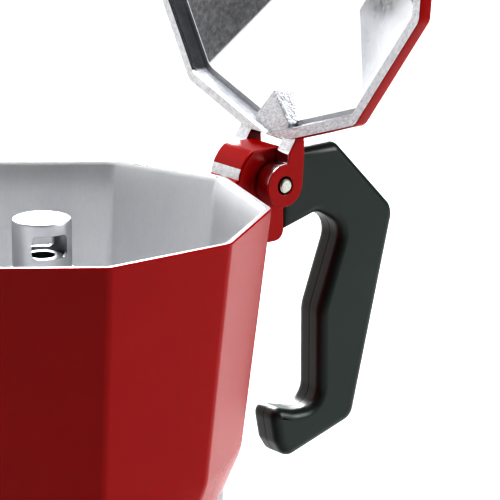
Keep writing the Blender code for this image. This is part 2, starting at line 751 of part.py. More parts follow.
def build_handle():
    handle = add_object("handle", prism(handle_outline(), HANDLE_THICK), black_resin("handle_resin"))
    bevel = handle.modifiers.new("edge_rounding", "BEVEL")
    bevel.width = HANDLE_EDGE
    bevel.segments = 2
    bevel.limit_method = "ANGLE"
    bevel.angle_limit = math.radians(60)
    tang_top = RIM_Z - TANG_TOP
    socket = block(
        (LUG_BACK_X - TANG_ROOT, -TANG_WIDTH / 2 - GAP, tang_top - TANG_H - GAP),
        (LUG_BACK_X + TANG_LENGTH + GAP, TANG_WIDTH / 2 + GAP, tang_top + GAP),
    )
    combine(handle, "DIFFERENCE", socket)
    head_z = RIM_Z - HANDLE_SCREW_HEAD_DROP
    shaft_hole = bar(
        HANDLE_SCREW_R + GAP,
        (HANDLE_SCREW_X, 0, head_z - HANDLE_SCREW_HEAD_H),
        (HANDLE_SCREW_X, 0, tang_top - TANG_H / 2),
        16,
    )
    combine(handle, "DIFFERENCE", shaft_hole)
    counterbore = bar(
        HANDLE_SCREW_HEAD_R + GAP,
        (HANDLE_SCREW_X, 0, head_z - ARM_BOTTOM_DROP / 3),
        (HANDLE_SCREW_X, 0, head_z + GAP),
        16,
    )
    combine(handle, "DIFFERENCE", counterbore)
    head_low = head_z - HANDLE_SCREW_HEAD_H
    tip_z = tang_top - TANG_H + HANDLE_SCREW_BITE
    screw = turned(
        [
            (0, head_low),
            (HANDLE_SCREW_HEAD_R, head_low),
            (HANDLE_SCREW_HEAD_R, head_z),
            (HANDLE_SCREW_R, head_z),
            (HANDLE_SCREW_R, tip_z),
            (0, tip_z),
        ],
        16,
        looped=False,
    )
    add_object("handle_screw", screw, steel("handle_screw_steel"), place=(HANDLE_SCREW_X, 0, 0))


def lid_rings():
    """Rings over the outside of the lid and back under it, on the lid's own centre and rim plane."""
    hole = KNOB_SCREW_R + GAP
    shoulder_r, shoulder_z = LID_R * DOME_SHOULDER[0], LID_H * DOME_SHOULDER[1]
    upper_r, upper_z = (LID_R + LID_CROWN_R) / 2 * DOME_UPPER[0], LID_H * DOME_UPPER[1]
    inner = LID_R - LID_RIM
    return [
        ring(LID_R, 0.0, beak=LID_BEAK),
        ring(LID_R, LID_SKIRT_H, beak=LID_BEAK),
        ring(LID_R - LID_EDGE, LID_SKIRT_H + LID_EDGE, beak=LID_BEAK * 0.8),
        ring(shoulder_r, shoulder_z),
        ring(upper_r, upper_z),
        ring(LID_CROWN_R, LID_H),
        ring(hole, LID_H, 0.0),
        ring(hole, LID_H - LID_WALL, 0.0),
        ring(LID_CROWN_R - LID_WALL / 5, LID_H - LID_WALL),
        ring(upper_r - LID_WALL / 5, upper_z - LID_WALL),
        ring(shoulder_r - LID_WALL * 0.4, shoulder_z - LID_WALL),
        ring(inner - LID_EDGE * 1.8, LID_SKIRT_H + LID_EDGE / 2),
        ring(inner - LID_EDGE / 2, LID_SKIRT_H - LID_EDGE / 6),
        ring(inner, 0.0, beak=LID_BEAK * 0.5),
    ]


def ear_outline():
    """Side view of one ear about the hinge axis, with the lid shut."""
    lid_under = LID_SEAT_Z - HINGE_Z
    bar_under = EAR_R - EAR_BAR
    rim_clear = RIM_R - EAR_INSET - HINGE_X
    left = -math.pi - math.asin(bar_under / EAR_R)
    outline = arc((0, 0), EAR_R, math.pi / 2, left, 16)
    outline += [(rim_clear, bar_under), (rim_clear, lid_under)]
    root = GUSSET_R + GUSSET_H - HINGE_X
    outline += [(root, lid_under), (root, lid_under + GUSSET_H)]
    outline += [(LID_R - EAR_R - HINGE_X, lid_under + GUSSET_H), (LID_R - HINGE_X, EAR_R)]
    return outline


def build_lid():
    """The lid's pieces hang on an empty at the hinge, modelled shut and turned open."""
    pivot = add_empty("lid_pivot", (HINGE_X, 0, HINGE_Z), (0, LID_OPEN, 0))
    seat = (-HINGE_X, 0, LID_SEAT_Z - HINGE_Z)
    lid = add_object("lid", loft(lid_rings(), looped=True), red_paint("lid_paint"), pivot, seat)
    ear_y = LUG_WIDTH / 2 + GAP + EAR_WIDTH / 2
    ear_side = ear_y + EAR_WIDTH / 2
    gusset_side = ear_side - 2 * GAP
    gusset_root = LID_R - GUSSET_H
    gusset = [
        (LID_R - LID_RIM / 2, 0),
        (gusset_root, gusset_side),
        (GUSSET_R + GUSSET_TAPER, gusset_side),
        (GUSSET_R, GUSSET_TIP),
        (GUSSET_R, -GUSSET_TIP),
        (GUSSET_R + GUSSET_TAPER, -gusset_side),
        (gusset_root, -gusset_side),
    ]
    combine(lid, "UNION", slab(gusset, 0.0, GUSSET_H), pivot, seat)
    for side in (-1, 1):
        combine(lid, "UNION", prism(ear_outline(), EAR_WIDTH, side * ear_y), pivot)
    notch_half = LUG_WIDTH / 2 + GAP
    notch = bar(LUG_SWEEP_R + 2 * GAP, (0, -notch_half, 0), (0, notch_half, 0), 32)
    combine(lid, "DIFFERENCE", notch, pivot)
    reach = LUG_WIDTH / 2 + 2 * EAR_WIDTH
    pin_hole = bar(PIN_R + PIN_GAP, (0, -reach, 0), (0, reach, 0), 24)
    combine(lid, "DIFFERENCE", pin_hole, pivot)
    build_knob(pivot, seat)


def build_knob(pivot, seat):
    washer = tube(KNOB_SCREW_R + GAP, WASHER_R, LID_H + GAP, LID_H + GAP + WASHER_THICK, 24)
    add_object("knob_washer", washer, steel("knob_washer_steel"), pivot, seat)
    foot = LID_H + WASHER_THICK + 2 * GAP
    bore = KNOB_SCREW_R + GAP
    profile = [
        (0, foot + KNOB_BORE_DEPTH),
        (bore, foot + KNOB_BORE_DEPTH),
        (bore, foot),
        (KNOB_FOOT_R, foot),
        (KNOB_FOOT_R + KNOB_EDGE, foot + 2 * KNOB_EDGE),
        (KNOB_WAIST_R, foot + KNOB_H * 0.35),
        (KNOB_WAIST_R + KNOB_EDGE, foot + KNOB_H * 0.55),
        (KNOB_R, foot + KNOB_H * 0.82),
        (KNOB_R - KNOB_EDGE, foot + KNOB_H * 0.92),
        (KNOB_R * 0.5, foot + KNOB_H),
        (0, foot + KNOB_H),
    ]
    add_object("knob", turned(profile, SIDES, looped=False), black_resin("knob_resin"), pivot, seat)
    head_top = LID_H - LID_WALL - GAP
    tip = foot + KNOB_BORE_DEPTH - GAP
    screw = turned(
        [
            (0, head_top - KNOB_SCREW_HEAD_H),
            (KNOB_SCREW_HEAD_R - KNOB_EDGE, head_top - KNOB_SCREW_HEAD_H),
            (KNOB_SCREW_HEAD_R, head_top - KNOB_SCREW_HEAD_H + KNOB_EDGE),
            (KNOB_SCREW_HEAD_R, head_top),
            (KNOB_SCREW_R, head_top),
            (KNOB_SCREW_R, tip),
            (0, tip),
        ],
        20,
        looped=False,
    )
    add_object("knob_screw", screw, steel("knob_screw_steel"), pivot, seat)


def main():
    for obj in list(bpy.data.objects):
        bpy.data.objects.remove(obj)
    build_boiler()
    build_valve()
    build_funnel()
    build_seals()
    build_collector()
    build_column_cap()
    build_hinge_pin()
    build_handle()
    build_lid()


main()
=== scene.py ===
"""Looks of a ten-sided stove-top moka pot: enamelled upper chamber and lid, bare cast
aluminium inside and below, a black phenolic handle and knob, and a white studio, built on
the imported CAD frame. Sizes in the classes are millimetres unless a name says otherwise."""

import json
import logging
import math
from dataclasses import dataclass, field
from enum import Enum
from typing import Iterable, Sequence

import bmesh
import bpy
from mathutils import Matrix, Vector


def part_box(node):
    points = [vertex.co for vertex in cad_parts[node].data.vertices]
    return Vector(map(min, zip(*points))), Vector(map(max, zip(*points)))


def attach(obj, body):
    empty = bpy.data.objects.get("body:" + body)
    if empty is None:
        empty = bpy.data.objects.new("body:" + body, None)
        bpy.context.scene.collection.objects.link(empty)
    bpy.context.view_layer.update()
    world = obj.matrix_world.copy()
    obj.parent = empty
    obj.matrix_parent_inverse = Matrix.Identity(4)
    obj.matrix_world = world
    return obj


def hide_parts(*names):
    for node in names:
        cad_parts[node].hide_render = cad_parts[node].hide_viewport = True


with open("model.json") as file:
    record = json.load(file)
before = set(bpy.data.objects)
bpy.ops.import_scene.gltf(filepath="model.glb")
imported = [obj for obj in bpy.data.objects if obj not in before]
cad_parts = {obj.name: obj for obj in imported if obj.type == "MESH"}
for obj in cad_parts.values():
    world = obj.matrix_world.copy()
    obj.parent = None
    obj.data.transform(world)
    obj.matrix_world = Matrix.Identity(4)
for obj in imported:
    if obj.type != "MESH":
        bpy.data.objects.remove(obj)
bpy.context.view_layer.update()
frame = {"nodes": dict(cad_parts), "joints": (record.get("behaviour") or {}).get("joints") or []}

LOG = logging.getLogger("moka_pot")
MM = 0.001
SIDES = 10
CORNER_STEP = 2 * math.pi / SIDES
FACET_CUTS = 3
MERGE = 1e-7
CRISP_DEGREES = 50.0
RIM_ABOVE_PIN = 2.0
LID_SEAT = 0.3
PIN_IN_LID = -(RIM_ABOVE_PIN + LID_SEAT)
LAID_ALONG_Y = Matrix.Rotation(-math.pi / 2, 4, "X")

# A corner of a side view: x, z and the radius that rounds it, in millimetres.
Corner = tuple[float, float, float]


class Finish(Enum):
    """The finishes of the pot, by the name of their material."""

    ENAMEL = "red_baked_enamel"
    SATIN = "satin_cast_aluminium"
    CAST = "plain_cast_aluminium"
    PRESSED = "pressed_aluminium"
    POLISHED = "polished_aluminium"
    ROUGH = "as_cast_aluminium"
    # A darker grey aluminium that paints the shade inside the lid's wall and under the column's
    # cap.
    PAINTED_SHADE = "painted_shade_grey_aluminium"
    PHENOLIC = "black_phenolic"
    STEEL = "bright_steel"
    BRASS = "turned_brass"
    RUBBER = "white_silicone"
    SHEET = "rolled_aluminium_sheet"


SLOT_OF = dict.fromkeys(Finish, "cast_aluminium") | {
    Finish.ENAMEL: "red_paint",
    Finish.PHENOLIC: "black_resin",
    Finish.STEEL: "steel",
    Finish.BRASS: "brass",
    Finish.RUBBER: "white_rubber",
}


def linear(code: str) -> tuple[float, float, float, float]:
    """Turns an sRGB hex code into a linear colour.

    Args:
        code: Six hex digits.

    Returns:
        Linear red, green, blue and an alpha of one.
    """
    channels = [int(code[i : i + 2], 16) / 255 for i in (0, 2, 4)]
    red, green, blue = [
        c / 12.92 if c < 0.04045 else ((c + 0.055) / 1.055) ** 2.4 for c in channels
    ]
    return red, green, blue, 1.0


def add_node(tree: bpy.types.NodeTree, kind: str, settings: dict, links: dict) -> bpy.types.Node:
    """Adds a node with its settings and the links into it.

    Args:
        tree: The material's or world's node tree.
        kind: The node's type name.
        settings: Attribute or input names with their values.
        links: Input names or numbers with the output socket that feeds each.

    Returns:
        The new node.
    """
    node = tree.nodes.new(kind)
    for name, value in settings.items():
        if isinstance(name, str) and hasattr(node, name):
            setattr(node, name, value)
        else:
            node.inputs[name].default_value = value
    for name, source in links.items():
        tree.links.new(source, node.inputs[name])
    return node


@dataclass(frozen=True)
class Surface:
    """A finish: two colours, a roughness range and one or two scales of relief.

    The colour varies over mottle_mm, roughness and relief over grain_mm, and pits are optional.
    """

    finish: Finish
    colour: str
    second_colour: str
    metallic: float
    roughness: tuple[float, float]
    mottle_mm: float
    grain_mm: float
    relief_mm: float
    stretch: tuple[float, float, float] = (1.0, 1.0, 1.0)
    ior: float = 1.5
    pits_mm: float = 0.0
    pits_relief_mm: float = 0.0

    def build(self) -> bpy.types.Material:
        """Makes the node material.

        Returns:
            The material, named for its finish.
        """
        material = bpy.data.materials.new(self.finish.value)
        material.use_nodes = True
        tree = material.node_tree
        shader = tree.nodes["Principled BSDF"]
        place = add_node(tree, "ShaderNodeTexCoord", {}, {}).outputs["Object"]
        mapping = add_node(tree, "ShaderNodeMapping", {"Scale": self.stretch}, {"Vector": place})
        mottle = self._noise(tree, mapping.outputs[0], self.mottle_mm, 3.0)
        grain = self._noise(tree, mapping.outputs[0], self.grain_mm, 4.0)
        blend = add_node(tree, "ShaderNodeMix", {"data_type": "RGBA"}, {0: mottle.outputs["Fac"]})
        blend.inputs[6].default_value = linear(self.colour)
        blend.inputs[7].default_value = linear(self.second_colour)
        tree.links.new(blend.outputs[2], shader.inputs["Base Color"])
        # A noise seldom leaves the middle of its range, so that part is spread over the roughness.
        low, high = self.roughness
        spread = add_node(
            tree,
            "ShaderNodeMapRange",
            {"From Min": 0.3, "From Max": 0.7, "To Min": low, "To Max": high},
            {"Value": grain.outputs["Fac"]},
        )
        tree.links.new(spread.outputs[0], shader.inputs["Roughness"])
        bump = add_node(
            tree,
            "ShaderNodeBump",
            {"Strength": 1.0, "Distance": self.relief_mm * MM},
            {"Height": grain.outputs["Fac"]},
        )
        if self.pits_mm:
            pits = add_node(
                tree,
                "ShaderNodeTexVoronoi",
                {"Scale": 1 / (self.pits_mm * MM), "Randomness": 1.0},
                {"Vector": place},
            )
            bump = add_node(
                tree,
                "ShaderNodeBump",
                {"Strength": 1.0, "Distance": self.pits_relief_mm * MM},
                {"Height": pits.outputs["Distance"], "Normal": bump.outputs[0]},
            )
        tree.links.new(bump.outputs[0], shader.inputs["Normal"])
        shader.inputs["Metallic"].default_value = self.metallic
        if self.metallic == 0:
            shader.inputs["IOR"].default_value = self.ior
        return material

    def _noise(
        self, tree: bpy.types.NodeTree, vector: bpy.types.NodeSocket, size_mm: float, detail: float
    ) -> bpy.types.Node:
        """Adds a noise whose features are size_mm across."""
        settings = {"Scale": 1 / (size_mm * MM), "Detail": detail, "Roughness": 0.55}
        return add_node(tree, "ShaderNodeTexNoise", settings, {"Vector": vector})


SURFACES = (
    # Baked polyester enamel: a deep, even, glossy red with a faint orange peel.
    Surface(Finish.ENAMEL, "A80606", "9C0405", 0.0, (0.2, 0.24), 30.0, 2.2, 0.002, ior=1.42),
    # Pressure-cast aluminium, tumbled satin: soft grey sheen with a fine vertical draw.
    Surface(
        Finish.SATIN, "E8E8E9", "DBDCDE", 1.0, (0.48, 0.6), 14.0, 0.7, 0.02,
        stretch=(1.0, 1.0, 0.35),
    ),
    # Boiler, collar and rim are left as tumbled: greyer and a little duller than the inside.
    Surface(
        Finish.CAST, "BABBBE", "ABACB0", 1.0, (0.42, 0.56), 12.0, 0.7, 0.025,
        stretch=(1.0, 1.0, 0.4),
    ),
    # The cap is pressed from sheet and tumbled: smoother and a shade darker than the casting.
    Surface(Finish.PRESSED, "BCBDBF", "AFB0B3", 1.0, (0.4, 0.5), 8.0, 0.5, 0.01),
    # The lid's inner dome is buffed, so it mirrors the room softly.
    Surface(Finish.POLISHED, "E6E6E8", "D8D9DC", 1.0, (0.12, 0.2), 18.0, 1.4, 0.012),
    # Trimmed flash faces keep the torn, sparkling skin of the casting.
    Surface(
        Finish.ROUGH, "EDEDEE", "A9AAAE", 1.0, (0.3, 0.5), 1.2, 0.45, 0.12,
        pits_mm=0.7, pits_relief_mm=0.1,
    ),
    # Painted shade: a darker grey aluminium on the lid's inner wall and at the spout's tip under
    # the cap, where shade falls.
    Surface(Finish.PAINTED_SHADE, "B4B5B8", "929397", 1.0, (0.36, 0.55), 3.0, 0.5, 0.06),
    # Compression-moulded phenolic: near-black with a cool cast and a satin skin.
    Surface(Finish.PHENOLIC, "33403C", "2B3532", 0.0, (0.32, 0.4), 20.0, 0.6, 0.004, ior=1.55),
    # Zinc-bright steel of the pin and screws, with fine turning marks.
    Surface(Finish.STEEL, "D2D4CE", "BEC2BA", 1.0, (0.22, 0.36), 3.0, 0.25, 0.008),
    # Turned free-cutting brass of the valve, slightly dulled.
    Surface(Finish.BRASS, "D8B26A", "BF9550", 1.0, (0.22, 0.36), 4.0, 0.3, 0.01),
    # Food-grade silicone: matte, off-white, a little dusty.
    Surface(Finish.RUBBER, "E4E1D8", "D8D4C8", 0.0, (0.5, 0.65), 6.0, 0.4, 0.02, ior=1.41),
    # Pressed aluminium sheet of the funnel and filter plate.
    Surface(Finish.SHEET, "D9DADC", "CBCCCF", 1.0, (0.28, 0.38), 10.0, 0.35, 0.008),
)


@dataclass(frozen=True)
class Frame:
    """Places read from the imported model."""

    hinge: Vector
    rim_z: float
    collar_z: float
    lid_open: float

    @property
    def lift(self) -> Matrix:
        """Puts a shape that is modelled from the rim plane at its height."""
        return Matrix.Translation((0, 0, self.rim_z))

    @staticmethod
    def read() -> "Frame":
        """Reads the hinge, the rim plane and the lid's angle.

        Returns:
            The places that every sub-assembly starts from.
        """
        joint = next(j for j in frame["joints"] if j["name"] == "lid_hinge")
        hinge = Vector(joint["pos_m"])
        rim_z = hinge.z + RIM_ABOVE_PIN * MM
        opening = math.radians(joint["range_deg"][1])
        return Frame(hinge, rim_z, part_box("collector")[0].z, opening)

    def lid_matrix(self) -> Matrix:
        """Places a shape that is modelled shut, from the lid's foot, where the open lid is."""
        seat = Matrix.Translation((-self.hinge.x, 0, self.rim_z + LID_SEAT * MM - self.hinge.z))
        return Matrix.Translation(self.hinge) @ Matrix.Rotation(self.lid_open, 4, "Y") @ seat


@dataclass(frozen=True)
class Station:
    """One level of a shell and the finish of the band that starts there.

    facets is 1 for flat sides and 0 for a circle; beak is how far the front corner is drawn out.
    """

    radius: float
    z: float
    facets: float
    beak: float
    finish: Finish


MATERIALS: dict[Finish, bpy.types.Material] = {}


def as_object(bm: bmesh.types.BMesh, name: str) -> bpy.types.Object:
    """Moves a shape into a new mesh object in the scene and frees the shape."""
    mesh = bpy.data.meshes.new(name)
    bm.to_mesh(mesh)
    bm.free()
    made = bpy.data.objects.new(name, mesh)
    bpy.context.scene.collection.objects.link(made)
    return made


def hand_over(
    bm: bmesh.types.BMesh,
    name: str,
    finishes: Sequence[Finish],
    body: str,
    replaced: Iterable[str] = (),
    matrix: Matrix | None = None,
    smooth_angle: float = 40.0,
) -> bpy.types.Object:
    """Makes the finished piece: mesh, materials, body and the CAD nodes that it stands for.

    Args:
        bm: The shape, in the row frame or in the space of matrix.
        name: The piece's name.
        finishes: The finish of each material index.
        body: The CAD body it rides on.
        replaced: CAD nodes that it stands for.
        matrix: Where the shape goes in the row frame.
        smooth_angle: Edges sharper than this, in degrees, stay crisp.

    Returns:
        The new object.
    """
    bmesh.ops.remove_doubles(bm, verts=bm.verts, dist=MERGE)
    if matrix is not None:
        bmesh.ops.transform(bm, matrix=matrix, verts=bm.verts)
    piece = as_object(bm, name)
    mesh = piece.data
    mesh.shade_smooth()
    mesh.set_sharp_from_angle(angle=math.radians(smooth_angle))
    for finish in finishes:
        mesh.materials.append(MATERIALS[finish])
    normals = piece.modifiers.new("flat_faces_stay_flat", "WEIGHTED_NORMAL")
    normals.keep_sharp = True
    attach(piece, body)
    if replaced:
        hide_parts(*replaced)
    LOG.info("%s: %d faces on %s", name, len(mesh.polygons), body)
    return piece


def bevel(
    bm: bmesh.types.BMesh, geom: Sequence, width: float, segments: int, kind: str = "EDGES"
) -> None:
    """Rounds edges or vertices.

    Args:
        bm: The shape.
        geom: Its edges, or its vertices.
        width: How far the round reaches, in metres.
        segments: Steps across the round.
        kind: EDGES or VERTICES.
    """
    bmesh.ops.bevel(
        bm,
        geom=list(geom),
        offset=width,
        offset_type="OFFSET",
        segments=segments,
        profile=0.5,
        affect=kind,
        material=-1,
        clamp_overlap=True,
    )


def crisp_edges(bm: bmesh.types.BMesh) -> list[bmesh.types.BMEdge]:
    """Edges whose faces meet at more than CRISP_DEGREES."""
    limit = math.radians(CRISP_DEGREES)
    return [e for e in bm.edges if len(e.link_faces) == 2 and e.calc_face_angle(0.0) > limit]


def off_corner(vert: bmesh.types.BMVert) -> float:
    """How far a vertex is round from the nearest corner, as a share of a side."""
    share = math.atan2(vert.co.y, vert.co.x) / CORNER_STEP
    return abs(share - round(share))


def spin_profile(
    bm: bmesh.types.BMesh, verts: list[bmesh.types.BMVert], looped: bool, steps: int
) -> None:
    """Joins a profile's vertices in order and spins it about Z, with its faces outwards.

    Args:
        bm: The mesh that holds the vertices and nothing else.
        verts: The profile.
        looped: True for a ring, False for a solid that ends on the axis.
        steps: Points around.
    """
    following = verts[1:] + verts[:1] if looped else verts[1:]
    edges = [bm.edges.new(pair) for pair in zip(verts, following)]
    bmesh.ops.spin(
        bm,
        geom=verts + edges,
        cent=(0, 0, 0),
        axis=(0, 0, 1),
        angle=2 * math.pi,
        steps=steps,
        use_merge=True,
    )
    bmesh.ops.remove_doubles(bm, verts=bm.verts, dist=MERGE)
    bmesh.ops.recalc_face_normals(bm, faces=bm.faces)


@dataclass
class TenSidedShell:
    """A spun shell with flat facets that can melt into a circle and be drawn out into a beak."""

    stations: list[Station]
    looped: bool
    ridge_mm: float
    ridge_segments: int = 3
    beak_power: float = 1.6

    def build(self) -> tuple[bmesh.types.BMesh, list[Finish]]:
        """Spins the profile, dresses each band, shapes the rings and rounds the ridges.

        Returns:
            The mesh and the finish of each material index.
        """
        bm = bmesh.new()
        keys = ("radius", "facets", "beak", "station")
        layers = {key: bm.verts.layers.float.new(key) for key in keys}
        verts = []
        for i, station in enumerate(self.stations):
            vert = bm.verts.new((station.radius * MM, 0.0, station.z * MM))
            marks = (station.radius * MM, station.facets, station.beak * MM, i)
            for key, mark in zip(keys, marks):
                vert[layers[key]] = mark
            verts.append(vert)
        spin_profile(bm, verts, self.looped, SIDES)
        finishes = self._dress(bm, layers["station"])
        self._shape(bm, layers)
        return bm, finishes

    def _dress(self, bm: bmesh.types.BMesh, layer: bmesh.types.BMLayerItem) -> list[Finish]:
        """Gives every face the finish of its band and returns the finishes used."""
        finishes = list(dict.fromkeys(station.finish for station in self.stations))
        last = len(self.stations) - 1
        for face in bm.faces:
            numbers = {round(vert[layer]) for vert in face.verts}
            band = last if numbers == {0, last} and last > 1 else min(numbers)
            face.material_index = finishes.index(self.stations[band].finish)
        return finishes

    def _shape(self, bm: bmesh.types.BMesh, layers: dict) -> None:
        """Adds points along the facets, moves them to the true outline and bevels the ridges."""
        around = [
            e for e in bm.edges
            if abs(e.verts[0][layers["station"]] - e.verts[1][layers["station"]]) < 0.5
        ]
        bmesh.ops.subdivide_edges(bm, edges=around, cuts=FACET_CUTS, use_grid_fill=True)
        for vert in bm.verts:
            flat = Vector((vert.co.x, vert.co.y, 0.0))
            if flat.length < 1e-6:
                continue
            facets = vert[layers["facets"]]
            reach = flat.length * facets + vert[layers["radius"]] * (1 - facets)
            off_front = (math.pi - abs(math.atan2(vert.co.y, vert.co.x))) / CORNER_STEP
            reach += vert[layers["beak"]] * max(0.0, 1 - off_front) ** self.beak_power
            flat = flat.normalized() * reach
            vert.co = (flat.x, flat.y, vert.co.z)
        on_ridge = {
            v for v in bm.verts
            if off_corner(v) < 0.01 and v[layers["facets"]] > 0.5 and v.co.xy.length > 1e-5
        }
        ridges = [e for e in bm.edges if on_ridge.issuperset(e.verts)]
        bevel(bm, ridges, self.ridge_mm * MM, self.ridge_segments)


def turned(profile: Sequence[tuple[float, float]], steps: int, looped: bool) -> bmesh.types.BMesh:
    """Spins a profile about Z.

    Args:
        profile: Radius and height pairs in millimetres.
        steps: Points around.
        looped: True for a ring, False for a solid that ends on the axis.

    Returns:
        The turned shape.
    """
    bm = bmesh.new()
    verts = [bm.verts.new((radius * MM, 0.0, z * MM)) for radius, z in profile]
    spin_profile(bm, verts, looped, steps)
    return bm


def outline_face(
    bm: bmesh.types.BMesh, corners: Sequence[Corner], y: float
) -> bmesh.types.BMFace:
    """Makes a face with rounded corners.

    Args:
        bm: An empty mesh.
        corners: The outline.
        y: Where its plane stands, in metres.

    Returns:
        The face.
    """
    verts = [bm.verts.new((x * MM, y, z * MM)) for x, z, _ in corners]
    bm.faces.new(verts)
    for i, (x, z, radius) in enumerate(corners):
        if not radius:
            continue
        here = Vector((x, z))
        before = Vector(corners[i - 1][:2]) - here
        after = Vector(corners[(i + 1) % len(corners)][:2]) - here
        reach = radius / math.tan(before.angle(after) / 2)
        bevel(bm, [verts[i]], reach * MM, 6, "VERTICES")
    bm.faces.ensure_lookup_table()
    return bm.faces[0]


def extrude(bm: bmesh.types.BMesh, face: bmesh.types.BMFace, step: Vector) -> list:
    """Draws a face out by a step and returns the vertices that moved."""
    made = bmesh.ops.extrude_face_region(bm, geom=[face])["geom"]
    moved = [item for item in made if isinstance(item, bmesh.types.BMVert)]
    bmesh.ops.translate(bm, vec=step, verts=moved)
    return moved


def prism(corners: Sequence[Corner], low: float, high: float) -> bmesh.types.BMesh:
    """Extrudes a rounded outline along Y.

    Args:
        corners: The outline.
        low: Where it starts, in metres.
        high: Where it ends, in metres.

    Returns:
        The closed shape.
    """
    bm = bmesh.new()
    extrude(bm, outline_face(bm, corners, low), Vector((0, high - low, 0)))
    bmesh.ops.recalc_face_normals(bm, faces=bm.faces)
    return bm


def cut(bm: bmesh.types.BMesh, tool: bmesh.types.BMesh) -> bmesh.types.BMesh:
    """Takes one closed shape away from another.

    Args:
        bm: The shape to cut. It is used up.
        tool: The shape that cuts. It is used up.

    Returns:
        What is left.
    """
    objects = [as_object(shape, "boolean_work") for shape in (bm, tool)]
    modifier = objects[0].modifiers.new("boolean", "BOOLEAN")
    modifier.operation = "DIFFERENCE"
    modifier.solver = "EXACT"
    modifier.object = objects[1]
    bpy.context.view_layer.update()
    result = bmesh.new()
    result.from_object(objects[0], bpy.context.evaluated_depsgraph_get())
    for work in objects:
        mesh = work.data
        bpy.data.objects.remove(work)
        bpy.data.meshes.remove(mesh)
    return result


def drill(radius: float, start: Vector, end: Vector, steps: int = 48) -> bmesh.types.BMesh:
    """Makes the tool for a round cut.

    Args:
        radius: The cut's radius in metres.
        start: Where its axis starts.
        end: Where its axis ends.
        steps: Points around.

    Returns:
        A closed cylinder.
    """
    along = end - start
    turn = along.to_track_quat("Z", "Y").to_matrix().to_4x4()
    bm = bmesh.new()
    bmesh.ops.create_cone(
        bm,
        cap_ends=True,
        segments=steps,
        radius1=radius,
        radius2=radius,
        depth=along.length,
        matrix=Matrix.Translation((start + end) / 2) @ turn,
    )
    return bm


def arc(centre: tuple[float, float], radius: float, start: float, end: float, steps: int) -> list:
    """Corners along an arc, unrounded.

    Args:
        centre: Its x and z.
        radius: Its radius.
        start: Where it starts, in radians from +X towards +Z.
        end: Where it ends.
        steps: Chords along it.

    Returns:
        The corners, both ends among them.
    """
    x, z = centre
    angles = [start + (end - start) * i / steps for i in range(steps + 1)]
    return [(x + radius * math.cos(a), z + radius * math.sin(a), 0.0) for a in angles]


